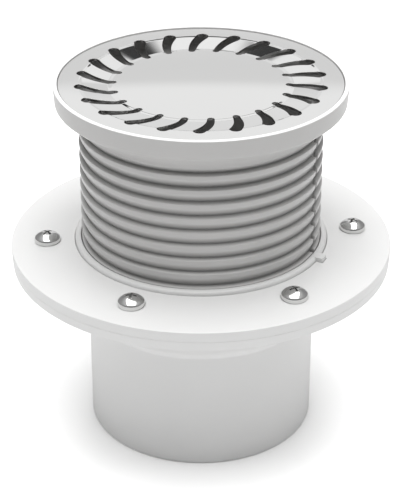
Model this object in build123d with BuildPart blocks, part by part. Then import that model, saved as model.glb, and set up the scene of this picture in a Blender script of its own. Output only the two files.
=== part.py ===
from build123d import *
from math import cos, radians, sin, sqrt, tan
import os

# A floor drain of moulded plastic with a stainless grate, in millimetres, +Z up.
# The origin is the centre of the pipe spigot's lower end, on which the drain stands.
# Every piece but the screws is turned round the Z axis, so most of them are revolved profiles.

# Pipe spigot: it goes into the socket of a 110 mm drain pipe
spigot_radius = 55.0
spigot_wall = 3.2
spigot_length = 59.5
spigot_lead_in = 1.0

# Neck: the tube with ringed outside that carries the grate
neck_radius = 57.5
neck_wall = 3.7
neck_core_draft = 0.9
neck_standoff = 5.46
neck_lead_in = 1.2

# Rings round the neck, sharp at the foot and sloping back to the groove
ring_count = 10
ring_pitch = 7.08
ring_face_height = 3.3
ring_face_draft = 0.25
ring_shelf_height = 0.88
ring_depth = 1.45

# Parting relief: the upright strip, on each side of the mould, where the rings stop
relief_azimuths = (-22.0, 158.0)
relief_width = 2.2
ring_end_radius = 1.3

# Plain end of the neck, with the groove of its seal
plain_end_length = 12.5
seal_cord = 2.7
seal_groove_width = 3.7
seal_groove_height = 3.2

# Funnel and rim on top of the neck
funnel_height = 9.12
funnel_wall = 2.8
rim_height = 9.0
rim_overhang = 11.15
rim_draft = 0.65
rim_lip = 2.1
rim_edge = 0.5
ledge_depth = 1.8
ledge_width = 1.7

# Running clearances: neck in its bore, seal in its groove and bore, grate in its rim
slide_clearance = 0.3
seal_clearance = 0.3
grate_clearance = 0.3

# Socket of the body, in which the neck stands, and its collar above the ring
socket_wall = 2.9
socket_length = 21.0
cone_wall = 3.0
collar_height = 1.95
collar_rounding = 1.4

# Flange of the body and the clamping ring on it, which is thicker at its inner edge
flange_width = 30.65
flange_thickness = 4.5
flange_draft = 0.35
flange_edge = 0.4
clamp_edge_thickness = 4.9
clamp_rise = 1.1
clamp_clearance = 0.25

# Lug on the collar's outside, which keeps the clamping ring from turning
lug_azimuth = -25.0
lug_projection = 3.3
lug_width = 5.0
lug_corner = 0.6

# Gasket in the flange's groove, between the lug and the circle of screws
gasket_lug_gap = 1.0
gasket_width = 4.5
gasket_thickness = 1.5
gasket_clearance = 0.25

# M6 pan-head screws with a cross recess, and their hexagon nuts
screw_count = 6
screw_inset = 17.35
screw_azimuth = 4.9
screw_radius = 3.0
screw_length = 16.0
screw_tip = 0.6
screw_hole_clearance = 0.2
head_radius = 6.2
head_side_height = 2.3
head_height = 5.1
head_seat_clearance = 0.3
head_seat_depth = 0.1
cross_span = 6.6
cross_width = 1.25
cross_depth = 2.6
cross_taper = 9.0
cross_turns = (-27.0, 20.0, 62.0, 45.0, -8.0, 25.0)
nut_flats = 10.0
nut_height = 5.0
nut_bevel = 30.0
thread_clearance = 0.05

# Bosses under the flange that hold the nuts, each on a web from the socket
boss_radius = 7.5
boss_height = 6.0
web_thickness = 3.0
nut_pocket_clearance = 0.1
nut_pocket_spare = 0.2

# Pressed sheet grate: flat edge, sloping channel and shallow cone in the middle
sheet_thickness = 1.2
edge_width = 9.9
channel_wall_width = 0.6
channel_wall_drop = 0.75
channel_width = 13.15
channel_fall = 1.2
disc_step_width = 0.6
disc_step = 0.3
disc_rise = 0.3
bend_radius = 0.4

# Curved slots of the grate, each round a bowed centre line from its inner to its outer end
slot_count = 22
slot_disc_reach = 2.9
slot_edge_reach = 2.45
slot_inner_width = 3.3
slot_middle_width = 4.5
slot_outer_width = 5.8
slot_azimuth = -83.8
slot_middle_lag = 2.5
slot_outer_lag = 6.9

# Heights and radii that follow from the sizes above
neck_inner_radius = neck_radius - neck_wall
rim_radius = neck_radius + rim_overhang
bore_radius = neck_radius + slide_clearance
socket_radius = bore_radius + socket_wall
flange_radius = socket_radius + flange_width
screw_circle_radius = flange_radius - screw_inset
spigot_inner_radius = spigot_radius - spigot_wall
cone_top = spigot_length + (socket_radius - spigot_radius)
cone_rise = cone_wall * sqrt(2)
bore_foot = spigot_length + (bore_radius - spigot_radius) + cone_rise
cone_foot = spigot_length - spigot_wall + cone_rise
flange_bottom = cone_top + socket_length
flange_top = flange_bottom + flange_thickness
clamp_hole_radius = socket_radius + clamp_clearance
clamp_edge_top = flange_top + clamp_edge_thickness
clamp_inner_top = clamp_edge_top + clamp_rise
collar_top = clamp_inner_top + collar_height
boss_bottom = flange_bottom - boss_height
screw_hole_radius = screw_radius + screw_hole_clearance
seat_radius = head_radius + head_seat_clearance
seat_share = (flange_radius - screw_circle_radius - seat_radius) / (flange_radius - clamp_hole_radius)
seat_height = clamp_edge_top + clamp_rise * seat_share - head_seat_depth
lug_radius = socket_radius + lug_projection
gasket_inner_radius = lug_radius + gasket_lug_gap

neck_foot = bore_foot + neck_standoff
plain_end_top = neck_foot + plain_end_length
first_ring_top = plain_end_top + ring_count * ring_pitch
funnel_foot = first_ring_top + ring_pitch - ring_face_height
rim_foot = funnel_foot + funnel_height
rim_top = rim_foot + rim_height
groove_radius = neck_radius - ring_depth
ring_foot_radius = neck_radius - ring_face_draft
rim_foot_radius = rim_radius - rim_draft
recess_radius = rim_radius - rim_lip
ledge_top = rim_top - ledge_depth
ledge_inner_radius = recess_radius - ledge_width

# Inside of the funnel: the outside cone, moved inwards by the wall
funnel_slope = funnel_height / (rim_foot_radius - ring_foot_radius)
funnel_offset = funnel_wall * sqrt(1 + funnel_slope**2)
funnel_inner_top = rim_foot - funnel_slope * (rim_foot_radius - ledge_inner_radius) + funnel_offset
funnel_inner_foot = rim_foot - funnel_slope * (rim_foot_radius - neck_inner_radius) + funnel_offset
neck_core_radius = neck_inner_radius - (funnel_inner_foot - neck_foot) * tan(radians(neck_core_draft))

# Seal: a round cord, clear of the bore and of its groove's floor
seal_middle_radius = bore_radius - seal_clearance - seal_cord / 2
seal_groove_radius = seal_middle_radius - seal_cord / 2 - seal_clearance
seal_groove_bottom = neck_foot + seal_groove_height
seal_groove_top = seal_groove_bottom + seal_groove_width
seal_height = (seal_groove_bottom + seal_groove_top) / 2

os.makedirs("parts", exist_ok=True)


def save(piece, name):
    """Label a finished piece and write it to its own file."""
    piece.part.label = name
    export_step(piece.part, f"parts/{name}.step")


# Body: spigot, cone, socket, flange and collar, moulded in one
with BuildPart() as drain_body:
    with BuildSketch(Plane.XZ):
        with BuildLine():
            Polyline(
                (spigot_inner_radius, 0),
                (spigot_radius - spigot_lead_in, 0),
                (spigot_radius, spigot_lead_in),
                (spigot_radius, spigot_length),
                (socket_radius, cone_top),
                (socket_radius, flange_bottom),
                (flange_radius - flange_draft, flange_bottom),
                (flange_radius, flange_top),
                (socket_radius, flange_top),
                (socket_radius, collar_top),
                (bore_radius, collar_top),
                (bore_radius, bore_foot),
                (spigot_inner_radius, cone_foot),
                close=True,
            )
        make_face()
    revolve(axis=Axis.Z)
    collar_edge = drain_body.edges().group_by(Axis.Z)[-1].sort_by(SortBy.RADIUS)[-1]
    fillet(collar_edge, radius=collar_rounding)

    # Bosses and webs under the flange
    with BuildSketch(Plane.XY.offset(flange_bottom)):
        with PolarLocations(screw_circle_radius, screw_count, start_angle=screw_azimuth):
            Circle(boss_radius)
        web_length = screw_circle_radius - socket_radius + socket_wall / 2
        web_middle = screw_circle_radius - web_length / 2
        with PolarLocations(web_middle, screw_count, start_angle=screw_azimuth):
            Rectangle(web_length, web_thickness)
    extrude(amount=-boss_height)

    # Six-sided pockets for the nuts, and the screw holes
    with BuildSketch(Plane.XY.offset(boss_bottom)):
        with PolarLocations(screw_circle_radius, screw_count, start_angle=screw_azimuth):
            RegularPolygon(nut_flats / 2 + nut_pocket_clearance, 6, major_radius=False)
    extrude(amount=nut_height + nut_pocket_spare, mode=Mode.SUBTRACT)
    with BuildSketch(Plane.XY.offset(boss_bottom)):
        with PolarLocations(screw_circle_radius, screw_count, start_angle=screw_azimuth):
            Circle(screw_hole_radius)
    extrude(amount=flange_top - boss_bottom, mode=Mode.SUBTRACT)

    # Groove for the gasket in the flange's top
    with BuildSketch(Plane.XY.offset(flange_top)):
        Circle(gasket_inner_radius + gasket_width + gasket_clearance)
        Circle(gasket_inner_radius - gasket_clearance, mode=Mode.SUBTRACT)
    extrude(amount=-gasket_thickness, mode=Mode.SUBTRACT)

    # Lug on the collar
    with BuildSketch(Plane.XY.offset(flange_top)) as lug_outline:
        lug_length = lug_projection + socket_wall / 2
        with PolarLocations(lug_radius - lug_length / 2, 1, start_angle=lug_azimuth):
            Rectangle(lug_length, lug_width)
        outer_corners = lug_outline.vertices().sort_by_distance((0, 0, flange_top))[-2:]
        fillet(outer_corners, radius=lug_corner)
    extrude(amount=collar_top - flange_top)
save(drain_body, "drain_body")

# Clamping ring: holds the waterproofing sheet down on the flange, its top a very shallow cone
with BuildPart() as clamping_ring:
    with BuildSketch(Plane.XZ):
        with BuildLine():
            Polyline(
                (clamp_hole_radius, flange_top),
                (flange_radius, flange_top),
                (flange_radius, clamp_edge_top),
                (clamp_hole_radius, clamp_inner_top),
                close=True,
            )
        make_face()
    revolve(axis=Axis.Z)
    outer_edges = clamping_ring.edges().filter_by(GeomType.CIRCLE).group_by(SortBy.RADIUS)[-1]
    top_edge = outer_edges.sort_by(Axis.Z)[-1]
    fillet(top_edge, radius=flange_edge)

    # Screw holes, with a flat seat for each head
    with BuildSketch(Plane.XY.offset(flange_top)):
        with PolarLocations(screw_circle_radius, screw_count, start_angle=screw_azimuth):
            Circle(screw_hole_radius)
    extrude(amount=seat_height - flange_top, mode=Mode.SUBTRACT)
    with BuildSketch(Plane.XY.offset(seat_height)):
        with PolarLocations(screw_circle_radius, screw_count, start_angle=screw_azimuth):
            Circle(seat_radius)
    extrude(amount=clamp_rise, mode=Mode.SUBTRACT)

    # Notch for the lug
    with BuildSketch(Plane.XY.offset(flange_top)):
        notch_length = lug_projection + clamp_clearance + socket_wall
        notch_middle = lug_radius + clamp_clearance - notch_length / 2
        with PolarLocations(notch_middle, 1, start_angle=lug_azimuth):
            Rectangle(notch_length, lug_width + 2 * clamp_clearance)
    extrude(amount=clamp_inner_top - flange_top, mode=Mode.SUBTRACT)
save(clamping_ring, "clamping_ring")

# Gasket: a flat rubber ring, flush in its groove under the clamping ring
with BuildPart() as flange_gasket:
    with BuildSketch(Plane.XY.offset(flange_top - gasket_thickness)):
        Circle(gasket_inner_radius + gasket_width)
        Circle(gasket_inner_radius, mode=Mode.SUBTRACT)
    extrude(amount=gasket_thickness)
save(flange_gasket, "flange_gasket")

# Neck: plain end, rings, funnel and rim in one profile, from the foot up the outside
neck_outline = [
    (neck_core_radius, neck_foot),
    (neck_radius - neck_lead_in, neck_foot),
    (neck_radius, neck_foot + neck_lead_in),
    (neck_radius, seal_groove_bottom),
    (seal_groove_radius, seal_groove_bottom),
    (seal_groove_radius, seal_groove_top),
    (neck_radius, seal_groove_top),
    (neck_radius, plain_end_top),
    (groove_radius, plain_end_top + ring_shelf_height),
]
for ring in range(1, ring_count + 1):
    ring_top = plain_end_top + ring * ring_pitch
    neck_outline.append((ring_foot_radius, ring_top - ring_face_height))
    neck_outline.append((neck_radius, ring_top))
    neck_outline.append((groove_radius, ring_top + ring_shelf_height))
neck_outline += [
    (ring_foot_radius, funnel_foot),
    (rim_foot_radius, rim_foot),
    (rim_radius, rim_top),
    (recess_radius, rim_top),
    (recess_radius, ledge_top),
    (ledge_inner_radius, ledge_top),
    (ledge_inner_radius, funnel_inner_top),
    (neck_inner_radius, funnel_inner_foot),
]

with BuildPart() as neck:
    with BuildSketch(Plane.XZ):
        with BuildLine():
            Polyline(neck_outline, close=True)
        make_face()
    revolve(axis=Axis.Z)
    lip_edges = neck.edges().group_by(Axis.Z)[-1]
    fillet(lip_edges, radius=rim_edge)

    # The rings end in rounded corners on both sides of each relief
    relief_foot = plain_end_top + ring_shelf_height
    relief_height = funnel_foot - relief_foot
    ring_end_height = ring_face_height + ring_shelf_height
    ring_end_length = 2 * ring_end_radius + relief_width
    for azimuth in relief_azimuths:
        outward = Vector(cos(radians(azimuth)), sin(radians(azimuth)), 0)
        sideways = Vector(-sin(radians(azimuth)), cos(radians(azimuth)), 0)
        with BuildSketch(Plane(outward * groove_radius, x_dir=sideways, z_dir=outward)):
            with Locations((0, relief_foot + relief_height / 2)):
                Rectangle(relief_width + 2 * ring_end_radius, relief_height)
            ends = []
            for ring in range(1, ring_count + 1):
                end_height = plain_end_top + ring * ring_pitch - ring_face_height / 2
                end_reach = relief_width / 2 + ring_end_length / 2
                ends += [(-end_reach, end_height), (end_reach, end_height)]
            with Locations(*ends):
                RectangleRounded(ring_end_length, ring_end_height, ring_end_radius, mode=Mode.SUBTRACT)
        extrude(amount=2 * ring_depth, mode=Mode.SUBTRACT)
save(neck, "neck")

# Seal: the rubber cord ring in the neck's groove
with BuildPart() as neck_seal:
    with BuildSketch(Plane.XZ):
        with Locations((seal_middle_radius, seal_height)):
            Circle(seal_cord / 2)
    revolve(axis=Axis.Z)
save(neck_seal, "neck_seal")


def slot_point(radius, lag):
    """A point of the first slot's centre line, at a radius and so many degrees behind its inner end."""
    angle = radians(slot_azimuth - lag)
    return Vector(radius * cos(angle), radius * sin(angle))


# Grate: the sheet's section, top and underside one thickness apart, with the slots cut through
sheet_top = ledge_top + sheet_thickness
channel_top = sheet_top - channel_wall_drop
channel_floor = channel_top - channel_fall
disc_edge = channel_floor + disc_step
grate_radius = recess_radius - grate_clearance
channel_outer_radius = grate_radius - edge_width
channel_wall_foot = channel_outer_radius - channel_wall_width
channel_inner_radius = channel_wall_foot - channel_width
disc_radius = channel_inner_radius - disc_step_width
slot_inner_radius = disc_radius - slot_disc_reach
slot_outer_radius = channel_outer_radius + slot_edge_reach
sheet_line = [
    (grate_radius, sheet_top),
    (channel_outer_radius, sheet_top),
    (channel_wall_foot, channel_top),
    (channel_inner_radius, channel_floor),
    (disc_radius, disc_edge),
    (0, disc_edge + disc_rise),
]
with BuildPart() as grate:
    with BuildSketch(Plane.XZ) as sheet_section:
        with BuildLine():
            underside = [(radius, height - sheet_thickness) for radius, height in reversed(sheet_line)]
            Polyline(sheet_line + underside, close=True)
        make_face()
        bends = sheet_section.vertices().filter_by_position(Axis.X, channel_wall_foot, channel_outer_radius)
        fillet(bends, radius=bend_radius)
    revolve(axis=Axis.Z)

    slot_start = slot_inner_radius + slot_inner_width / 2
    slot_finish = slot_outer_radius - slot_outer_width / 2
    inner_end = slot_point(slot_start, 0)
    middle = slot_point((slot_start + slot_finish) / 2, slot_middle_lag)
    outer_end = slot_point(slot_finish, slot_outer_lag)
    centre_line = Edge.make_three_point_arc(inner_end, middle, outer_end)
    with BuildSketch(Plane.XY.offset(sheet_top)) as slots:
        with BuildLine() as slot_outline:
            sides = []
            for along, width in ((0, slot_inner_width), (0.5, slot_middle_width), (1, slot_outer_width)):
                ahead = centre_line % along
                across = Vector(-ahead.Y, ahead.X) * (width / 2)
                sides.append((centre_line @ along + across, centre_line @ along - across))
            inner_tip = inner_end - (centre_line % 0) * (slot_inner_width / 2)
            outer_tip = outer_end + (centre_line % 1) * (slot_outer_width / 2)
            ThreePointArc(sides[0][0], sides[1][0], sides[2][0])
            ThreePointArc(sides[2][0], outer_tip, sides[2][1])
            ThreePointArc(sides[2][1], sides[1][1], sides[0][1])
            ThreePointArc(sides[0][1], inner_tip, sides[0][0])
        slot = make_face(mode=Mode.PRIVATE)
        with PolarLocations(0, slot_count):
            add(slot)
    extrude(amount=-2 * (sheet_top - channel_floor + sheet_thickness), mode=Mode.SUBTRACT)
save(grate, "grate")

# Screw: shank with its thread's outside, pan head and cross recess, with the head's seat at zero
with BuildPart() as screw_shape:
    with BuildSketch(Plane.XZ):
        with BuildLine():
            Polyline(
                (0, head_height),
                (0, -screw_length),
                (screw_radius - thread_clearance - screw_tip, -screw_length),
                (screw_radius - thread_clearance, screw_tip - screw_length),
                (screw_radius - thread_clearance, 0),
                (head_radius, 0),
                (head_radius, head_side_height),
            )
            dome_rise = head_height - head_side_height
            dome_radius = (head_radius**2 + dome_rise**2) / (2 * dome_rise)
            dome_half = dome_radius - sqrt(dome_radius**2 - (head_radius / 2) ** 2)
            ThreePointArc(
                (head_radius, head_side_height),
                (head_radius / 2, head_height - dome_half),
                (0, head_height),
            )
        make_face()
    revolve(axis=Axis.Z)
    with BuildSketch(Plane.XY.offset(head_height)):
        Rectangle(cross_span, cross_width)
        Rectangle(cross_width, cross_span)
    extrude(amount=-cross_depth, taper=cross_taper, mode=Mode.SUBTRACT)

# Nut: a hexagon with its corners turned off at both ends
with BuildPart() as nut_shape:
    with BuildSketch():
        RegularPolygon(nut_flats / 2, 6, major_radius=False)
    extrude(amount=nut_height)
    corner_radius = nut_flats / sqrt(3)
    bevel_height = (corner_radius - nut_flats / 2) * tan(radians(nut_bevel))
    with BuildSketch(Plane.XZ):
        with BuildLine():
            Polyline(
                (0, 0),
                (nut_flats / 2, 0),
                (corner_radius, bevel_height),
                (corner_radius, nut_height - bevel_height),
                (nut_flats / 2, nut_height),
                (0, nut_height),
                close=True,
            )
        make_face()
    revolve(axis=Axis.Z, mode=Mode.INTERSECT)
    Hole(screw_radius)

for number, cross_turn in enumerate(cross_turns, start=1):
    azimuth = screw_azimuth + (number - 1) * 360 / screw_count
    place_x = screw_circle_radius * cos(radians(azimuth))
    place_y = screw_circle_radius * sin(radians(azimuth))
    with BuildPart() as screw:
        with Locations(Location((place_x, place_y, seat_height), (0, 0, cross_turn))):
            add(screw_shape.part)
    save(screw, f"screw_{number}")
    nut_bottom = boss_bottom + nut_pocket_spare
    with BuildPart() as nut:
        with Locations(Location((place_x, place_y, nut_bottom), (0, 0, azimuth))):
            add(nut_shape.part)
    save(nut, f"nut_{number}")
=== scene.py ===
# %% [markdown]
# # A floor drain, made around a fixed frame
# The drain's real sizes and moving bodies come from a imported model, and this script adds the looks.
# The object is a moulded white body with a pipe spigot and a flange, a clamping ring screwed on the
# flange, a ringed grey neck that slides and turns in the body, and a polished grate in the neck's rim.
# Nearly everything was turned round one upright axis, so most pieces here start as half a section that
# is spun round Z, and only the screws, slots and notches are cut or added afterwards.

# %% Load the frame
from math import cos, pi, radians, sin, sqrt, tan

import bmesh
import bpy
from mathutils import Matrix, Vector


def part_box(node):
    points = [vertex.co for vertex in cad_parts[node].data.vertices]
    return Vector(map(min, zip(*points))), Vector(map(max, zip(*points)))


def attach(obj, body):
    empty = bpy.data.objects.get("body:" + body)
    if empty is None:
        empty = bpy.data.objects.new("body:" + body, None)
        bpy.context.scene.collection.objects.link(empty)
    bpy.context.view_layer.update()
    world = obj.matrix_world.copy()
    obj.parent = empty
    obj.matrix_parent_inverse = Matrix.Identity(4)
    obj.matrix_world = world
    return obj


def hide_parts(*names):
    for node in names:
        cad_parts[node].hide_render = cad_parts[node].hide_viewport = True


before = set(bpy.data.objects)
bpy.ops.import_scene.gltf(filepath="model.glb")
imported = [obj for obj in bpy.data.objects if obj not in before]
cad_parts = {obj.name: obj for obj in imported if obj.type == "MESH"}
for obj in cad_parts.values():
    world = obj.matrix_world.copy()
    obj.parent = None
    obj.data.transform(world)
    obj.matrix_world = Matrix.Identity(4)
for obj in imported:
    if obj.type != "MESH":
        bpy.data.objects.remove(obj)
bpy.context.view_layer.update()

scene = bpy.context.scene
scene.view_settings.view_transform = "Standard"

# %% [markdown]
# ## Heights and radii
# All lengths are in metres. The main heights and radii are read from the frame's boxes, so that a piece
# made here sits exactly where the solid model has it. The small ones, such as a wall or an edge's
# rounding, are written once below. They are those of the solid model, apart from a few of the neck and
# the grate, which are drawn a little differently so that the piece looks more like the photograph.

# %% Read the main sizes from the frame
MM = 0.001


def top_of(node):
    """Height of a node's highest point."""
    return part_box(node)[1].z


def foot_of(node):
    """Height of a node's lowest point."""
    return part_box(node)[0].z


def radius_of(node):
    """Largest radius of a node that is round about the Z axis."""
    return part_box(node)[1].x


flange_radius = radius_of("drain_body")
flange_top = foot_of("clamping_ring")
clamp_inner_top = top_of("clamping_ring")
collar_top = top_of("drain_body")
neck_foot = foot_of("neck")
rim_top = top_of("neck")
rim_radius = radius_of("neck")
seal_height = (top_of("neck_seal") + foot_of("neck_seal")) / 2
print("flange radius", round(flange_radius, 4), "rim radius", round(rim_radius, 4))

# %% [markdown]
# ## The camera
# The photograph looks down on the drain by about 28 degrees with a long lens, from 0.73 m in front and
# 0.48 m up. The focal length was found in picture points from the drain's outlines. The sensor's width,
# which lies along the picture's longer side, turns it into millimetres. A very small shift puts the
# drain's axis where the photograph has it.

# %% Set up the camera
PHOTO_HEIGHT = 500
SENSOR_WIDTH = 36
camera_place = Vector((0, -0.73187, 0.48474))
camera_tilt = radians(28.492)
lens_in_pixels = 1711.3
axis_off_centre = 2.0

camera_data = bpy.data.cameras.new("photo_camera")
camera_data.sensor_width = SENSOR_WIDTH
camera_data.lens = lens_in_pixels * camera_data.sensor_width / PHOTO_HEIGHT
camera_data.shift_x = axis_off_centre / PHOTO_HEIGHT
camera = bpy.data.objects.new("photo_camera", camera_data)
camera.location = camera_place
camera.rotation_euler = (pi / 2 - camera_tilt, 0, 0)
scene.collection.objects.link(camera)
scene.camera = camera
print("lens", round(camera_data.lens, 1), "mm")

# %% [markdown]
# ## Helpers for shader trees
# The tent, the floor and the plastics all choose a shade by a place or a direction. Few kinds of node
# do this: a range turns a measure into a share from 0 to 1, a ramp gives a grey for each share, and a
# mix goes from one colour to another. One short function for each keeps the later cells readable.

# %% Helpers: nodes and plain arithmetic
def add_node(tree, kind, **values):
    """Add a node to a shader tree and set its properties."""
    node = tree.nodes.new(kind)
    for name, value in values.items():
        setattr(node, name, value)
    return node


def feed(tree, source, socket):
    """Link a socket to another one, or give it a plain value."""
    if isinstance(source, bpy.types.NodeSocket):
        tree.links.new(source, socket)
    else:
        socket.default_value = source


def vector_math(tree, operation, *sources):
    """One step of vector arithmetic."""
    node = add_node(tree, "ShaderNodeVectorMath", operation=operation)
    for source, socket in zip(sources, node.inputs):
        feed(tree, source, socket)
    return node


def part_of(tree, vector, axis):
    """One part of a vector: its X, Y or Z."""
    node = add_node(tree, "ShaderNodeSeparateXYZ")
    feed(tree, vector, node.inputs[0])
    return node.outputs[axis]


# %% Helpers: shares, ramps and mixes
# Places of a Mix node's colour sockets
MIX_SHARE, MIX_LOW, MIX_HIGH, MIX_RESULT = 0, 6, 7, 2


def share_of(tree, value, start, finish):
    """A share that goes from 0 to 1 while a value goes from start to finish."""
    node = add_node(tree, "ShaderNodeMapRange")
    node.inputs["From Min"].default_value = start
    node.inputs["From Max"].default_value = finish
    feed(tree, value, node.inputs["Value"])
    return node.outputs["Result"]


def grey_ramp(tree, share, stops):
    """Greys along a share, from (place, grey) stops in rising order."""
    node = add_node(tree, "ShaderNodeValToRGB")
    elements = node.color_ramp.elements
    elements[0].position, elements[1].position = stops[0][0], stops[-1][0]
    for place, _ in stops[1:-1]:
        elements.new(place)
    for element, (_, grey) in zip(elements, stops):
        element.color = (grey, grey, grey, 1)
    feed(tree, share, node.inputs["Fac"])
    return node.outputs["Color"]


def mixed(tree, share, low, high, blend="MIX"):
    """Go from one colour to another as a share goes from 0 to 1."""
    node = add_node(tree, "ShaderNodeMix", data_type="RGBA", blend_type=blend)
    feed(tree, share, node.inputs[MIX_SHARE])
    feed(tree, low, node.inputs[MIX_LOW])
    feed(tree, high, node.inputs[MIX_HIGH])
    return node.outputs[MIX_RESULT]


# %% [markdown]
# ## The tent
# The drain stands in a white tent that is brighter at the top and dark low down in front. One world
# shader can do this: the direction of a ray decides how bright it is. Each list below gives the
# brightness by height, from the horizon at 0 to straight up at 1, for the sides, the back and the front.
# The polished grate lies like a mirror that looks at the back of the tent, so a narrow stretch there is
# drawn more finely: a lit wall, a narrow dark gap, a lit ceiling and dark above it. The gap gives the
# grate its dark fields. The picture's background is plain white for camera rays only, so it adds no light
# to the object.

# %% Shades of the tent
SIDE_STOPS = [(0.0, 0.3), (0.34, 0.38), (0.6, 0.38), (0.8, 0.6), (1.0, 0.6)]
BACK_STOPS = [(0.0, 0.3), (0.5, 0.26), (0.8, 0.6), (1.0, 0.6)]
FRONT_STOPS = [(0.0, 0.0), (0.17, 0.02), (0.5, 0.12), (0.75, 0.68), (1.0, 0.68)]
MIRRORED_STOPS = [
    (0.0, 0.75), (0.3, 0.95), (0.37, 0.82), (0.387, 0.83), (0.393, 1.03), (0.505, 1.03), (0.513, 0.05),
    (0.545, 0.06), (0.556, 1.1), (0.74, 1.05), (0.8, 0.1), (1.0, 0.1),
]
MIRRORED_WIDTH = (0.92, 0.97)
BACKGROUND_WHITE = (1, 1, 1, 1)
LEVEL = (1, 1, 0)

# %% Draw the tent
world = bpy.data.worlds.new("white_tent")
scene.world = world
world.use_nodes = True


def tent_shade(tree):
    """Brightness by direction: z is up, and y runs from the camera's side to the back."""
    direction = add_node(tree, "ShaderNodeTexCoord").outputs["Generated"]
    height = part_of(tree, direction, "Z")
    level = vector_math(tree, "MULTIPLY", direction, LEVEL)
    heading = vector_math(tree, "NORMALIZE", level.outputs[0])
    backwards = part_of(tree, heading.outputs[0], "Y")

    # The square keeps the sign, so that it goes from -1 at the front to 1 at the back
    size = add_node(tree, "ShaderNodeMath", operation="ABSOLUTE")
    feed(tree, backwards, size.inputs[0])
    square = add_node(tree, "ShaderNodeMath", operation="MULTIPLY")
    feed(tree, backwards, square.inputs[0])
    feed(tree, size.outputs[0], square.inputs[1])

    to_back = share_of(tree, square.outputs[0], 0, 1)
    tent = mixed(tree, to_back, grey_ramp(tree, height, SIDE_STOPS), grey_ramp(tree, height, BACK_STOPS))
    to_front = share_of(tree, square.outputs[0], 0, -1)
    tent = mixed(tree, to_front, tent, grey_ramp(tree, height, FRONT_STOPS))
    to_mirrored = share_of(tree, backwards, *MIRRORED_WIDTH)
    return mixed(tree, to_mirrored, tent, grey_ramp(tree, height, MIRRORED_STOPS))


def light_tent(tree):
    """Light the object with the tent and show plain white to the camera."""
    tree.nodes.clear()
    lit = add_node(tree, "ShaderNodeBackground")
    feed(tree, tent_shade(tree), lit.inputs["Color"])
    seen = add_node(tree, "ShaderNodeBackground")
    feed(tree, BACKGROUND_WHITE, seen.inputs["Color"])
    rays = add_node(tree, "ShaderNodeLightPath")
    choose = add_node(tree, "ShaderNodeMixShader")
    output = add_node(tree, "ShaderNodeOutputWorld")
    feed(tree, rays.outputs["Is Camera Ray"], choose.inputs["Fac"])
    feed(tree, lit.outputs[0], choose.inputs[1])
    feed(tree, seen.outputs[0], choose.inputs[2])
    feed(tree, choose.outputs[0], output.inputs["Surface"])


light_tent(world.node_tree)
print("tent drawn with", len(world.node_tree.nodes), "nodes")

# %% [markdown]
# ## The soft box
# A large square lamp hangs over the drain, and the tent gives the rest of the light. An area lamp fits
# here because its size makes the shadow of the rim on the neck wide and soft. A point lamp of the same
# power would draw hard edges.

# %% Hang the soft box
SOFTBOX_SIZE = 1.2
SOFTBOX_PLACE = (0, -0.03, 1.3)
SOFTBOX_POWER = 15.5

softbox_data = bpy.data.lights.new("overhead_softbox", "AREA")
softbox_data.shape = "SQUARE"
softbox_data.size = SOFTBOX_SIZE
softbox_data.energy = SOFTBOX_POWER
softbox = bpy.data.objects.new("overhead_softbox", softbox_data)
softbox.location = SOFTBOX_PLACE
scene.collection.objects.link(softbox)
print("softbox", SOFTBOX_POWER, "W")

# %% [markdown]
# ## The floor
# The drain stands on a plain white sweep. The floor is one large flat face. It is white enough to run
# into the white background, and where the flange and the spigot keep the light off it, it shows the
# soft shadow of the photograph.

# %% Make the floor
FLOOR_SIZE = 6.0


def add_object(name, mesh):
    """Put a mesh in the scene as an object at the origin."""
    piece = bpy.data.objects.new(name, mesh)
    scene.collection.objects.link(piece)
    return piece


floor_shape = bmesh.new()
bmesh.ops.create_grid(floor_shape, x_segments=1, y_segments=1, size=FLOOR_SIZE / 2)
floor_mesh = bpy.data.meshes.new("floor")
floor_shape.to_mesh(floor_mesh)
floor_shape.free()
floor = add_object("floor", floor_mesh)
print("floor", FLOOR_SIZE, "m wide")

# %% Give the floor its white
FLOOR_SEEN = 1.42
FLOOR_BOUNCE = 1.0


def floor_material():
    """A matt floor that looks white to the camera and gives back less light than it shows."""
    material = bpy.data.materials.new("floor_white")
    material.use_nodes = True
    tree = material.node_tree
    tree.nodes.clear()
    rays = add_node(tree, "ShaderNodeLightPath")
    grey = add_node(tree, "ShaderNodeMapRange")
    grey.inputs["To Min"].default_value = FLOOR_BOUNCE
    grey.inputs["To Max"].default_value = FLOOR_SEEN
    feed(tree, rays.outputs["Is Camera Ray"], grey.inputs["Value"])
    matt = add_node(tree, "ShaderNodeBsdfDiffuse")
    feed(tree, grey.outputs["Result"], matt.inputs["Color"])
    output = add_node(tree, "ShaderNodeOutputMaterial")
    feed(tree, matt.outputs[0], output.inputs["Surface"])
    return material


floor.data.materials.append(floor_material())
print("floor seen at", FLOOR_SEEN, "and lit as", FLOOR_BOUNCE)

# %% [markdown]
# ## Materials
# Moulded plastic, rubber and stainless steel are all Principled shaders. What tells them apart up close
# is small: plastic has a faint grain and a slightly uneven tint from the mould, and pressed steel has
# fine unevenness. Both come from noise on Object coordinates, so they stay on the piece when it moves.

# %% A helper for materials with a fine grain
TINT_PATCH = 0.03
TINT_DETAIL = 3
GRAIN_DETAIL = 2


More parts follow.
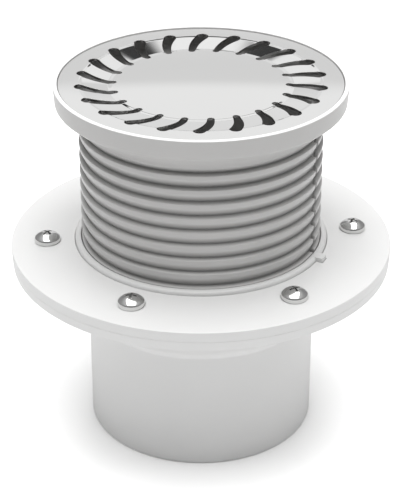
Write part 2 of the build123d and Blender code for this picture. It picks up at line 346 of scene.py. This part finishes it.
def grained_material(name, colour, roughness, metallic, grain_size, grain_depth, tint_spread):
    """A Principled material whose tint and surface vary with noise of a real size, in metres."""
    material = bpy.data.materials.new(name)
    material.use_nodes = True
    tree = material.node_tree
    shader = tree.nodes["Principled BSDF"]
    shader.inputs["Roughness"].default_value = roughness
    shader.inputs["Metallic"].default_value = metallic
    place = add_node(tree, "ShaderNodeTexCoord").outputs["Object"]

    def noise(patch, detail):
        """Noise with patches of a real size."""
        node = add_node(tree, "ShaderNodeTexNoise")
        node.inputs["Scale"].default_value = 1 / patch
        node.inputs["Detail"].default_value = detail
        feed(tree, place, node.inputs["Vector"])
        return node.outputs["Fac"]

    tint = add_node(tree, "ShaderNodeMapRange")
    tint.inputs["To Min"].default_value = 1 - tint_spread
    tint.inputs["To Max"].default_value = 1 + tint_spread
    feed(tree, noise(TINT_PATCH, TINT_DETAIL), tint.inputs["Value"])
    tinted = vector_math(tree, "SCALE", colour)
    feed(tree, tint.outputs["Result"], tinted.inputs["Scale"])
    feed(tree, tinted.outputs[0], shader.inputs["Base Color"])

    bump = add_node(tree, "ShaderNodeBump")
    bump.inputs["Strength"].default_value = 1.0
    bump.inputs["Distance"].default_value = grain_depth
    feed(tree, noise(grain_size, GRAIN_DETAIL), bump.inputs["Height"])
    feed(tree, bump.outputs[0], shader.inputs["Normal"])
    return material


# %% Mix the plastics and the rubber
white_plastic = grained_material(
    "white_plastic", colour=(0.86, 0.86, 0.855), roughness=0.38, metallic=0.0,
    grain_size=0.0006, grain_depth=0.000004, tint_spread=0.012,
)
grey_plastic = grained_material(
    "grey_plastic", colour=(0.6, 0.595, 0.588), roughness=0.3, metallic=0.0,
    grain_size=0.0006, grain_depth=0.000004, tint_spread=0.02,
)
black_rubber = grained_material(
    "black_rubber", colour=(0.03, 0.03, 0.03), roughness=0.6, metallic=0.0,
    grain_size=0.0004, grain_depth=0.00001, tint_spread=0.1,
)
print("mixed", white_plastic.name, grey_plastic.name, black_rubber.name)

# %% Mix the two steels
polished_steel = grained_material(
    "polished_steel", colour=(0.74, 0.74, 0.735), roughness=0.03, metallic=1.0,
    grain_size=0.004, grain_depth=0.0000004, tint_spread=0.01,
)
screw_steel = grained_material(
    "screw_steel", colour=(0.7, 0.7, 0.695), roughness=0.14, metallic=1.0,
    grain_size=0.0006, grain_depth=0.000002, tint_spread=0.03,
)
print("mixed", polished_steel.name, screw_steel.name)

# %% [markdown]
# ## Painted shade and highlight on the neck
# On the photograph the grooves between the neck's rings are darker than the rings, and the lip round
# the grate is nearly white. Both are painted into the neck's colour: the darker grooves are painted
# shade, and the pale lip is a painted highlight. One reads the distance from the axis and the other
# the height, both from Object coordinates, so they stay where they are when the neck turns or slides.

# %% Paint shade into the grooves and a highlight onto the lip
# Painted shade in the grooves, as (distance from the axis, shade) pairs
GROOVE_PAINTED_SHADE = [(0.0542, 1.0), (0.0550, 0.5), (0.0556, 0.5), (0.0571, 1.0)]
# Painted highlight on the lip's top, and the height band that it covers
LIP_PAINTED_HIGHLIGHT = (0.9, 0.9, 0.895, 1)
LIP_DEPTH = 0.00025
LIP_FADE = 0.0001


def paint_groove_shade(material, painted_shades):
    """Paint shade into a material's colour by the distance from the Z axis, given as (distance, shade) in
    rising order.
    """
    tree = material.node_tree
    base = tree.nodes["Principled BSDF"].inputs["Base Color"]
    place = add_node(tree, "ShaderNodeTexCoord").outputs["Object"]
    level = vector_math(tree, "MULTIPLY", place, LEVEL)
    distance = vector_math(tree, "LENGTH", level.outputs[0])
    first, last = painted_shades[0][0], painted_shades[-1][0]
    share = share_of(tree, distance.outputs["Value"], first, last)
    shade = grey_ramp(tree, share, [((radius - first) / (last - first), tone) for radius, tone in painted_shades])
    feed(tree, mixed(tree, 1, base.links[0].from_socket, shade, blend="MULTIPLY"), base)


def paint_highlight_above(material, height, fade, colour):
    """Paint a highlight into a material's colour above a height of the piece."""
    tree = material.node_tree
    base = tree.nodes["Principled BSDF"].inputs["Base Color"]
    place = add_node(tree, "ShaderNodeTexCoord").outputs["Object"]
    share = share_of(tree, part_of(tree, place, "Z"), height - fade, height)
    feed(tree, mixed(tree, share, base.links[0].from_socket, colour), base)


# Painted shade: the grooves' colour is darkened where shade falls between the rings
paint_groove_shade(grey_plastic, GROOVE_PAINTED_SHADE)
# Painted highlight: the lip's top is made paler where light falls on it
paint_highlight_above(grey_plastic, rim_top - LIP_DEPTH, LIP_FADE, LIP_PAINTED_HIGHLIGHT)
print("neck toned with", len(grey_plastic.node_tree.nodes), "nodes")

# %% [markdown]
# ## Turning a section
# A turned piece is drawn as half its section, in the plane through the axis. Each corner may have a
# rounding: the bevel operator works on the flat section's corner points, which is far easier than
# bevelling a finished ring. Spinning the rounded outline once round Z makes the skin, and the use_merge
# option closes its seam.

# %% Helpers: turn a section and make an object of it
TURN_STEPS = 264
ROUNDING_SEGMENTS = 3
CLOSE = MM / 1000


def turned(section, steps=TURN_STEPS):
    """Spin a closed section of (radius, height, rounding) corners round the Z axis."""
    shape = bmesh.new()
    corners = [shape.verts.new((radius, 0, height)) for radius, height, _ in section]
    shape.faces.new(corners)
    for size in sorted({rounding for _, _, rounding in section if rounding}):
        same = [corner for corner, (_, _, rounding) in zip(corners, section) if rounding == size]
        bmesh.ops.bevel(
            shape, geom=same, offset=size, offset_type="OFFSET", segments=ROUNDING_SEGMENTS,
            profile=0.5, affect="VERTICES", material=-1,
        )
    bmesh.ops.delete(shape, geom=shape.faces[:], context="FACES_ONLY")
    on_axis = [edge for edge in shape.edges if all(abs(v.co.x) < CLOSE for v in edge.verts)]
    bmesh.ops.delete(shape, geom=on_axis, context="EDGES")
    bmesh.ops.spin(
        shape, geom=shape.verts[:] + shape.edges[:], cent=(0, 0, 0), axis=(0, 0, 1),
        angle=2 * pi, steps=steps, use_merge=True, use_duplicate=False,
    )
    bmesh.ops.remove_doubles(shape, verts=shape.verts[:], dist=CLOSE)
    bmesh.ops.recalc_face_normals(shape, faces=shape.faces[:])
    return shape


def piece_from(shape, name):
    """Make an object of a bmesh and free the bmesh."""
    mesh = bpy.data.meshes.new(name)
    shape.to_mesh(mesh)
    shape.free()
    return add_object(name, mesh)


# %% [markdown]
# ## Cutting and softening
# What can't be turned is added to or cut from the turned skin with an exact boolean, and a bevel on the
# sharp edges alone then gives the small roundings that catch the light. Modifiers do both, and each is
# applied at once, so that the mesh is final when the next step starts.

# %% Helpers: apply, combine and soften
def settle(piece):
    """Apply a piece's modifiers to its mesh."""
    bpy.context.view_layer.update()
    settled = piece.evaluated_get(bpy.context.evaluated_depsgraph_get())
    solved = bpy.data.meshes.new_from_object(settled)
    piece.modifiers.clear()
    piece.data = solved
    solved.name = piece.name


def combine(piece, shape, operation, overlapping=False):
    """Cut a shape out of a piece, add it or keep what both share, and drop the shape."""
    tool = piece_from(shape, piece.name + "_tool")
    change = piece.modifiers.new("combine", "BOOLEAN")
    change.operation = operation
    change.solver = "EXACT"
    change.use_self = overlapping
    change.object = tool
    settle(piece)
    bpy.data.objects.remove(tool)


def soften(piece, width, angle=50, segments=2):
    """Round the edges that a cut or a step left sharp."""
    rounding = piece.modifiers.new("soften", "BEVEL")
    rounding.width = width
    rounding.segments = segments
    rounding.limit_method = "ANGLE"
    rounding.angle_limit = radians(angle)
    rounding.use_clamp_overlap = True
    settle(piece)


# %% Helper: finish a piece
SHARP_ANGLE = radians(40)


def finish_piece(piece, body, node, material):
    """Smooth the shading, give the finish, tie the piece to its body and hide its solid."""
    piece.data.shade_smooth()
    piece.data.set_sharp_from_angle(angle=SHARP_ANGLE)
    even = piece.modifiers.new("even_normals", "WEIGHTED_NORMAL")
    even.keep_sharp = True
    settle(piece)
    piece.data.materials.clear()
    piece.data.materials.append(material)
    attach(piece, body)
    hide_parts(node)
    triangles = sum(len(face.vertices) - 2 for face in piece.data.polygons)
    print(piece.name, "has", triangles, "triangles")
    return piece


# %% Helpers: copies round the axis, blocks and posts
def round_the_axis(shape, count, start):
    """Copy a shape so that it stands count times round the Z axis, the first turned by start degrees."""
    first = shape.verts[:] + shape.edges[:] + shape.faces[:]
    first_turn = Matrix.Rotation(radians(start), 3, "Z")
    bmesh.ops.rotate(shape, verts=shape.verts[:], cent=(0, 0, 0), matrix=first_turn)
    for number in range(1, count):
        copy = bmesh.ops.duplicate(shape, geom=first)
        moved = [item for item in copy["geom"] if isinstance(item, bmesh.types.BMVert)]
        turn = Matrix.Rotation(2 * pi * number / count, 3, "Z")
        bmesh.ops.rotate(shape, verts=moved, cent=(0, 0, 0), matrix=turn)
    return shape


def block(low, high):
    """A closed box between two corners."""
    shape = bmesh.new()
    bmesh.ops.create_cube(shape, size=1)
    size = Vector(high) - Vector(low)
    bmesh.ops.scale(shape, verts=shape.verts[:], vec=size)
    bmesh.ops.translate(shape, verts=shape.verts[:], vec=(Vector(low) + Vector(high)) / 2)
    return shape


def post(x, low, high, radius, sides):
    """A closed round or many-sided post on the X axis, with a corner on that axis' own side."""
    shape = bmesh.new()
    bmesh.ops.create_cone(
        shape, cap_ends=True, cap_tris=False, segments=sides, radius1=radius, radius2=radius,
        depth=high - low,
    )
    bmesh.ops.translate(shape, verts=shape.verts[:], vec=(x, 0, (low + high) / 2))
    return shape


# %% [markdown]
# ## The body
# The body is one moulding: the spigot goes into the drain pipe, a short cone widens it to the socket
# for the neck, the flange lies on the floor slab, and the collar stands up through the clamping ring.
# Its wall is one closed section, spun round the axis. Six bosses under the flange hold the nuts in
# six-sided pockets, and a small lug on the collar keeps the clamping ring from turning. These few are
# added to and cut from the turned skin with exact booleans, as a mould maker adds them to the tool.

# %% Sizes of the body
screw_count = 6
screw_azimuth = 4.9
screw_circle = 0.0740
screw_hole = 0.0032
spigot_radius = 0.0550
spigot_bore = 0.0518
socket_radius = 0.0607
bore_radius = 0.0578
spigot_length = 0.0595
cone_top = spigot_length + socket_radius - spigot_radius
bore_foot = 0.06654
cone_foot = 0.06054
flange_bottom = flange_top - 0.0045
boss_bottom = flange_bottom - 0.0060
groove_inner = 0.06475
groove_outer = 0.06975
groove_depth = 0.0015
boss_radius = 0.0075
web_half = 0.0015
nut_pocket_half = 0.0051
nut_pocket_depth = 0.0052
lug_azimuth = -25.0
lug_radius = 0.0640
lug_width = 0.0050
lug_root = 0.0015
lug_rounding = 0.0006

body_section = [
    (spigot_bore, 0, 0.0004),
    (spigot_radius - 0.0007, 0, 0.0003),
    (spigot_radius, 0.0007, 0.0003),
    (spigot_radius, spigot_length, 0.0008),
    (socket_radius, cone_top, 0.0008),
    (socket_radius, flange_bottom, 0.0004),
    (flange_radius - 0.00035, flange_bottom, 0.0003),
    (flange_radius, flange_top, 0.00015),
    (groove_outer, flange_top, 0),
    (groove_outer, flange_top - groove_depth, 0),
    (groove_inner, flange_top - groove_depth, 0),
    (groove_inner, flange_top, 0),
    (socket_radius, flange_top, 0),
    (socket_radius, collar_top, 0.0014),
    (bore_radius, collar_top, 0.0005),
    (bore_radius, bore_foot, 0.0005),
    (spigot_bore, cone_foot, 0.0005),
]
print("body section has", len(body_section), "corners")

# %% Turn the body and add the bosses
HEXAGON = 6
BOSS_SIDES = 48
HOLE_SIDES = 40
OVERLAP = 0.001


def at_the_screws(shape):
    """Copy a shape to the six places of the screws."""
    return round_the_axis(shape, screw_count, screw_azimuth)


body = piece_from(turned(body_section), "moulded_body")
boss = post(screw_circle, boss_bottom, flange_bottom + OVERLAP, boss_radius, BOSS_SIDES)
combine(body, at_the_screws(boss), "UNION")
web = block(
    (socket_radius - OVERLAP, -web_half, boss_bottom), (screw_circle, web_half, flange_bottom + OVERLAP),
)
combine(body, at_the_screws(web), "UNION")
print("body with bosses has", len(body.data.polygons), "faces")

# %% Cut the nut pockets and the screw holes
nut_pocket = post(
    screw_circle, boss_bottom - OVERLAP, boss_bottom + nut_pocket_depth,
    nut_pocket_half / cos(pi / HEXAGON), HEXAGON,
)
combine(body, at_the_screws(nut_pocket), "DIFFERENCE")
hole = post(screw_circle, boss_bottom, flange_top + OVERLAP, screw_hole, HOLE_SIDES)
combine(body, at_the_screws(hole), "DIFFERENCE")
print("body with holes has", len(body.data.polygons), "faces")

# %% Add the lug and finish the body
lug = block((socket_radius - lug_root, -lug_width / 2, flange_top), (lug_radius, lug_width / 2, collar_top))
upright = [
    edge for edge in lug.edges
    if abs(edge.verts[0].co.z - edge.verts[1].co.z) > MM and edge.verts[0].co.x > socket_radius
]
bmesh.ops.bevel(
    lug, geom=upright, offset=lug_rounding, offset_type="OFFSET", segments=ROUNDING_SEGMENTS,
    profile=0.5, affect="EDGES", material=-1,
)
combine(body, round_the_axis(lug, 1, lug_azimuth), "UNION")
soften(body, width=0.0002)
finish_piece(body, "base", "drain_body", white_plastic)

# %% [markdown]
# ## The clamping ring
# The clamping ring is a moulded plate that presses a waterproofing sheet on the flange. Its top rises a
# little from the outer edge to the collar, so that water and mortar don't lie on it, and each screw head
# has a flat round seat there. A notch in its inner edge takes the body's lug.

# %% Turn the clamping ring
clamp_hole = 0.06095
clamp_edge_top = flange_top + 0.0049
ring_section = [
    (clamp_hole, flange_top, 0.0002),
    (flange_radius, flange_top, 0.0002),
    (flange_radius, clamp_edge_top, 0.0004),
    (clamp_hole, clamp_inner_top, 0.0003),
]
clamping_ring = piece_from(turned(ring_section), "clamping_plate")
print("ring rises by", round((clamp_inner_top - clamp_edge_top) / MM, 2), "mm")

# %% Cut the holes, seats and notch and finish the ring
screw_length = 0.0160
seat_height = foot_of("screw_1") + screw_length
seat_radius = 0.0065
SEAT_SIDES = 64
lug_clearance = 0.00025
notch_root = 0.003

hole = post(screw_circle, flange_top - OVERLAP, clamp_inner_top + OVERLAP, screw_hole, HOLE_SIDES)
combine(clamping_ring, at_the_screws(hole), "DIFFERENCE")
seat = post(screw_circle, seat_height, clamp_inner_top + OVERLAP, seat_radius, SEAT_SIDES)
combine(clamping_ring, at_the_screws(seat), "DIFFERENCE")
notch_side = lug_width / 2 + lug_clearance
notch = block(
    (clamp_hole - notch_root, -notch_side, flange_top - OVERLAP),
    (lug_radius + lug_clearance, notch_side, collar_top),
)
combine(clamping_ring, round_the_axis(notch, 1, lug_azimuth), "DIFFERENCE")
soften(clamping_ring, width=0.00015)
finish_piece(clamping_ring, "base", "clamping_ring", white_plastic)

# %% [markdown]
# ## The neck
# The neck is the ringed tube that carries the grate. Each ring has a sharp foot and a flank that
# slopes back into the groove, like the teeth of a cable tie, so that mortar and seal grip it. The
# section below climbs the outside ring by ring, goes out along the funnel to the rim, over the lip,
# and down the inside. The rings stop short of two upright strips where the mould parted. The grooves are
# a little deeper and the rings' upright faces shorter than in the solid model, so that the flank under
# each ring is tall and dark. Under the funnel the upright face keeps the solid model's height.

# %% Sizes of the neck
neck_radius = 0.0575
neck_inner = 0.0538
neck_core = 0.05242
ring_count = 10
ring_pitch = 0.00708
ring_face = 0.0023
funnel_face = 0.0033
ring_shelf = 0.00088
ring_groove = 0.0554
ring_foot = 0.05725
plain_end_height = 0.0125
plain_end_top = neck_foot + plain_end_height
neck_chamfer = 0.0012
funnel_foot = plain_end_top + (ring_count + 1) * ring_pitch - funnel_face
rim_height = 0.0090
rim_foot = rim_top - rim_height
rim_draft = 0.00065
rim_foot_radius = rim_radius - rim_draft
rim_lip = 0.0021
recess_radius = rim_radius - rim_lip
recess_depth = 0.0018
ledge_top = rim_top - recess_depth
ledge_width = 0.0017
ledge_inner = recess_radius - ledge_width
funnel_thickness = 0.0028
funnel_slope = (rim_foot - funnel_foot) / (rim_foot_radius - ring_foot)
funnel_wall = funnel_thickness * sqrt(1 + funnel_slope**2)
seal_groove = 0.0545
seal_groove_half = 0.00185


def funnel_inside(radius):
    """Height of the funnel's inner face at a radius."""
    return rim_foot - funnel_slope * (rim_foot_radius - radius) + funnel_wall


print("funnel rises", round(funnel_slope, 2), "m for each metre outwards")

# %% Draw the neck's section
neck_section = [
    (neck_core, neck_foot, 0.0003),
    (neck_radius - neck_chamfer, neck_foot, 0.0003),
    (neck_radius, neck_foot + neck_chamfer, 0.0003),
    (neck_radius, seal_height - seal_groove_half, 0.0001),
    (seal_groove, seal_height - seal_groove_half, 0.0002),
    (seal_groove, seal_height + seal_groove_half, 0.0002),
    (neck_radius, seal_height + seal_groove_half, 0.0001),
    (neck_radius, plain_end_top, 0.0003),
    (ring_groove, plain_end_top + ring_shelf, 0.00015),
]
for ring in range(1, ring_count + 1):
    ring_top = plain_end_top + ring * ring_pitch
    neck_section += [
        (ring_foot, ring_top - ring_face, 0.0002),
        (neck_radius, ring_top, 0.0004),
        (ring_groove, ring_top + ring_shelf, 0.00015),
    ]
neck_section += [
    (ring_foot, funnel_foot, 0.0003),
    (rim_foot_radius, rim_foot, 0.0004),
    (rim_radius, rim_top, 0.0005),
    (recess_radius, rim_top, 0.0002),
    (recess_radius, ledge_top, 0.0002),
    (ledge_inner, ledge_top, 0.0003),
    (ledge_inner, funnel_inside(ledge_inner), 0.0005),
    (neck_inner, funnel_inside(neck_inner), 0.0008),
]
print("neck section has", len(neck_section), "corners")

# %% Cut the parting reliefs and finish the neck
relief_azimuth = -22.0
relief_half = 0.0011
ring_end_rounding = 0.0013
ROUNDING_SHARE = 0.98
ROUNDING_STEPS = 5
comb_reach = 0.003


def relief_comb():
    """The comb-shaped tool between the rounded ring ends, drawn flat and pushed out of the groove."""
    shape = bmesh.new()
    wide = relief_half + ring_end_rounding
    foot = plain_end_top + ring_shelf
    right = [(wide, foot)]
    for ring in range(1, ring_count + 1):
        ring_top = plain_end_top + ring * ring_pitch
        end_top = ring_top + ring_shelf / 2
        end_foot = ring_top - ring_face - ring_shelf / 2
        right += [(wide, end_foot), (relief_half, end_foot), (relief_half, end_top), (wide, end_top)]
    right.append((wide, funnel_foot))
    left = [(-side, height) for side, height in reversed(right)]
    corners = [shape.verts.new((ring_groove, side, height)) for side, height in right + left]
    shape.faces.new(corners)
    tips = [corner for corner in corners if abs(abs(corner.co.y) - relief_half) < MM / 100]
    bmesh.ops.bevel(
        shape, geom=tips, offset=ring_end_rounding * ROUNDING_SHARE, offset_type="OFFSET",
        segments=ROUNDING_STEPS, profile=0.5, affect="VERTICES", material=-1,
    )
    raised = bmesh.ops.extrude_face_region(shape, geom=shape.faces[:])
    lifted = [item for item in raised["geom"] if isinstance(item, bmesh.types.BMVert)]
    bmesh.ops.translate(shape, verts=lifted, vec=(comb_reach, 0, 0))
    bmesh.ops.recalc_face_normals(shape, faces=shape.faces[:])
    return shape


neck = piece_from(turned(neck_section), "ringed_neck")
combine(neck, round_the_axis(relief_comb(), 2, relief_azimuth), "DIFFERENCE")
soften(neck, width=0.00012)
finish_piece(neck, "neck", "neck", grey_plastic)

# %% [markdown]
# ## The grate
# The grate is one pressed steel sheet, 1.2 mm thick: a flat edge that lies on the rim's ledge, a
# channel that carries the slots, and a very shallow cone in the middle. Because the sheet is closed
# above and below, it is turned as a thin section, and the slots are cut through it as upright posts
# with a curved, widening outline. A mirror finish shows every flaw, so the bends and the slots' edges get
# real roundings, and the channel's wall and the step to the cone are gentler than in the solid model.

# %% Turn the sheet
sheet = 0.0012
grate_radius = radius_of("grate")
sheet_top = ledge_top + sheet
edge_width = 0.0099
channel_wall_width = 0.0010
channel_wall_drop = 0.00036
channel_width = 0.01375
channel_fall = 0.00141
step_width = 0.0006
step_rise = 0.0003
step_lead_in = 0.0004
step_run_out = 0.0008
disc_rise = 0.0003
channel_outer = grate_radius - edge_width
channel_inner = channel_outer - channel_width
disc_radius = channel_inner - step_width
channel_top = sheet_top - channel_wall_drop
channel_floor = channel_top - channel_fall
disc_edge = channel_floor + step_rise
sheet_line = [
    (grate_radius, sheet_top, 0.0003),
    (channel_outer, sheet_top, 0.0003),
    (channel_outer - channel_wall_width, channel_top, 0.0003),
    (channel_inner + step_lead_in, channel_floor, 0.0004),
    (disc_radius - step_run_out, disc_edge, 0.0004),
    (0, disc_edge + disc_rise, 0),
]
underside = [(radius, height - sheet, rounding) for radius, height, rounding in reversed(sheet_line)]
grate = piece_from(turned(sheet_line + underside), "slotted_grate")
print("grate is", round(2 * grate_radius / MM, 1), "mm across")

# %% Draw one curved slot
slot_count = 22
slot_azimuth = -83.8
slot_disc_reach = 0.0029
slot_edge_reach = 0.00245
slot_start = disc_radius - slot_disc_reach
slot_finish = channel_outer + slot_edge_reach
slot_widths = (0.0033, 0.0045, 0.0058)
slot_lags = (0.0, 2.5, 6.9)
SLOT_STEPS = 16


def slot_centre(share):
    """A point of the slot's centre line, from its inner end at 0 to its outer end at 1."""
    first = slot_start + slot_widths[0] / 2
    last = slot_finish - slot_widths[2] / 2
    bow = 4 * share * (1 - share) * (slot_lags[1] - slot_lags[2] / 2)
    lag = slot_lags[2] * share + bow
    radius = first + (last - first) * share
    angle = radians(slot_azimuth - lag)
    return Vector((radius * cos(angle), radius * sin(angle), 0))


def slot_width(share):
    """The slot's width along its centre line."""
    bow = 4 * share * (1 - share) * (slot_widths[1] - (slot_widths[0] + slot_widths[2]) / 2)
    return slot_widths[0] + (slot_widths[2] - slot_widths[0]) * share + bow


def slot_post():
    """The upright post that cuts the first slot: two bowed sides with a round end at each end."""
    small = 0.01
    left, right, ends = [], [], []
    for step in range(SLOT_STEPS + 1):
        share = step / SLOT_STEPS
        ahead = (slot_centre(share + small) - slot_centre(share - small)).normalized()
        across = Vector((-ahead.y, ahead.x, 0)) * slot_width(share) / 2
        left.append(slot_centre(share) + across)
        right.append(slot_centre(share) - across)
        if step in (0, SLOT_STEPS):
            side = -1 if step == 0 else 1
            reach = ahead * side * across.length
            turns = [pi * number / SLOT_STEPS for number in range(1, SLOT_STEPS)]
            ends.append([slot_centre(share) + across * cos(turn) + reach * sin(turn) for turn in turns])
    outline = left + ends[1] + right[::-1] + ends[0][::-1]
    shape = bmesh.new()
    shape.faces.new([shape.verts.new((point.x, point.y, channel_floor - 2 * sheet)) for point in outline])
    raised = bmesh.ops.extrude_face_region(shape, geom=shape.faces[:])
    lifted = [item for item in raised["geom"] if isinstance(item, bmesh.types.BMVert)]
    bmesh.ops.translate(shape, verts=lifted, vec=(0, 0, 5 * sheet))
    bmesh.ops.recalc_face_normals(shape, faces=shape.faces[:])
    return shape


# %% Cut the slots and finish the grate
combine(grate, round_the_axis(slot_post(), slot_count, 0), "DIFFERENCE")
soften(grate, width=0.00045, segments=4)
finish_piece(grate, "neck", "grate", polished_steel)

# %% [markdown]
# ## Screws and nuts
# Six M6 pan-head screws hold the clamping ring. A head is a turned dome with a cross recess, and the
# cross is a small tapered plus that is cut out of it. The thread is a zigzag line that is spun with a
# lift of one pitch a turn, so that its end meets its start one tooth higher. The nuts are hexagons whose
# corners a turned shape takes off. One screw and one nut are made, and copies go to the six places.

# %% Draw the screw's head and its cross
HEAD_STEPS = 72
DOME_STEPS = 10
screw_radius = 0.00295
thread_pitch = 0.0010
thread_depth = 0.0006
head_radius = 0.0062
head_side = 0.0023
head_height = 0.0051
cross_half = 0.0033
cross_width = 0.00125
cross_depth = 0.0026
cross_reach = 0.0005
CROSS_TAPER = (0.45, 0.55, 1)
stub = 0.001


def dome_height(radius):
    """Height of the pan head's top above its seat, at a radius."""
    rise = head_height - head_side
    ball = (head_radius**2 + rise**2) / (2 * rise)
    return head_height - ball + sqrt(ball**2 - radius**2)


def screw_head():
    """The turned head with a stub of shank."""
    section = [(0, -stub, 0), (screw_radius, -stub, 0), (screw_radius, 0, 0), (head_radius, 0, 0.0003)]
    section.append((head_radius, dome_height(head_radius), 0.0004))
    for step in range(1, DOME_STEPS):
        radius = head_radius * (1 - step / DOME_STEPS)
        section.append((radius, dome_height(radius), 0))
    section.append((0, head_height, 0))
    return turned(section, steps=HEAD_STEPS)


def cross_tool():
    """The tapered plus of the cross recess, point down."""
    shape = bmesh.new()
    for turn in (0, pi / 2):
        made = bmesh.ops.create_cube(shape, size=1)
        bar = made["verts"]
        bmesh.ops.scale(shape, verts=bar, vec=(2 * cross_half, cross_width, cross_depth + 2 * cross_reach))
        foot = [corner for corner in bar if corner.co.z < 0]
        bmesh.ops.scale(shape, verts=foot, vec=CROSS_TAPER)
        centre = head_height - cross_depth / 2 + cross_reach
        bmesh.ops.translate(shape, verts=bar, vec=(0, 0, centre))
        bmesh.ops.rotate(shape, verts=bar, cent=(0, 0, 0), matrix=Matrix.Rotation(turn, 3, "Z"))
    return shape


# %% Make one screw at the origin
def threaded_rod(length, pitch, outer, depth, sides=32):
    """A rod with a real thread, from below zero down to its length."""
    shape = bmesh.new()
    turns = int(length / pitch) + 2
    line = []
    for number in range(turns + 1):
        line.append(shape.verts.new((outer - depth, 0, -length - pitch + number * pitch)))
        line.append(shape.verts.new((outer, 0, -length - pitch / 2 + number * pitch)))
    for low, high in zip(line, line[1:]):
        shape.edges.new((low, high))
    bmesh.ops.spin(
        shape, geom=shape.verts[:] + shape.edges[:], cent=(0, 0, 0), axis=(0, 0, 1),
        dvec=(0, 0, pitch / sides), angle=2 * pi, steps=sides, use_merge=False, use_duplicate=False,
    )
    bmesh.ops.remove_doubles(shape, verts=shape.verts[:], dist=pitch / 100)
    for height, side in ((-length, -1), (-pitch / 2, 1)):
        bmesh.ops.bisect_plane(
            shape, geom=shape.verts[:] + shape.edges[:] + shape.faces[:], plane_co=(0, 0, height),
            plane_no=(0, 0, side), clear_outer=True, dist=pitch / 1000,
        )
    bmesh.ops.holes_fill(shape, edges=shape.edges[:], sides=0)
    bmesh.ops.recalc_face_normals(shape, faces=shape.faces[:])
    return shape


def screw_from(name):
    """One whole screw with the head's seat at zero."""
    screw = piece_from(screw_head(), name)
    combine(screw, cross_tool(), "DIFFERENCE", overlapping=True)
    soften(screw, width=0.00008, angle=40)
    combine(screw, threaded_rod(screw_length, thread_pitch, screw_radius, thread_depth), "UNION")
    return screw


first_screw = screw_from("screw_pattern")
print("screw pattern", len(first_screw.data.polygons), "faces")

# %% Make one nut at the origin
nut_half = 0.0050
nut_height = 0.0050
nut_hole = 0.0030
nut_corner = nut_half / cos(pi / HEXAGON)
nut_bevel = (nut_corner - nut_half) * tan(radians(30))


def nut_from(name):
    """A hexagon nut standing on zero, its corners turned off and its hole cut."""
    nut = piece_from(post(0, 0, nut_height, nut_corner, HEXAGON), name)
    corners_off = [
        (0, 0, 0), (nut_half, 0, 0), (nut_corner, nut_bevel, 0), (nut_corner, nut_height - nut_bevel, 0),
        (nut_half, nut_height, 0), (0, nut_height, 0),
    ]
    combine(nut, turned(corners_off, steps=HEAD_STEPS), "INTERSECT")
    combine(nut, post(0, -OVERLAP, nut_height + OVERLAP, nut_hole, HOLE_SIDES), "DIFFERENCE")
    soften(nut, width=0.00012, angle=28)
    return nut


first_nut = nut_from("nut_pattern")
print("nut pattern", len(first_nut.data.polygons), "faces")

# %% Place the screws and nuts
cross_turns = (-27.0, 20.0, 62.0, 45.0, -8.0, 25.0)
nut_foot = foot_of("nut_1")

for number, cross_turn in enumerate(cross_turns, start=1):
    azimuth = radians(screw_azimuth + (number - 1) * 360 / screw_count)
    place = Vector((screw_circle * cos(azimuth), screw_circle * sin(azimuth), 0))
    for kind, pattern, height, turn in (
        ("screw", first_screw, seat_height, radians(cross_turn)),
        ("nut", first_nut, nut_foot, azimuth + pi / HEXAGON),
    ):
        piece = add_object(f"{kind}_{number}_made", pattern.data.copy())
        lift = Matrix.Translation(place + Vector((0, 0, height)))
        piece.data.transform(lift @ Matrix.Rotation(turn, 4, "Z"))
        finish_piece(piece, "base", f"{kind}_{number}", screw_steel)

bpy.data.objects.remove(first_screw)
bpy.data.objects.remove(first_nut)

# %% [markdown]
# ## Gasket and seal
# The flat gasket and the neck's seal hardly show, and the solid model already has their true form, so
# they stay as they are and only get the rubber finish.

# %% Give the rubber pieces their finish
for node in ("flange_gasket", "neck_seal"):
    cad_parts[node].data.materials.clear()
    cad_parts[node].data.materials.append(black_rubber)
print("rubber on gasket and seal")
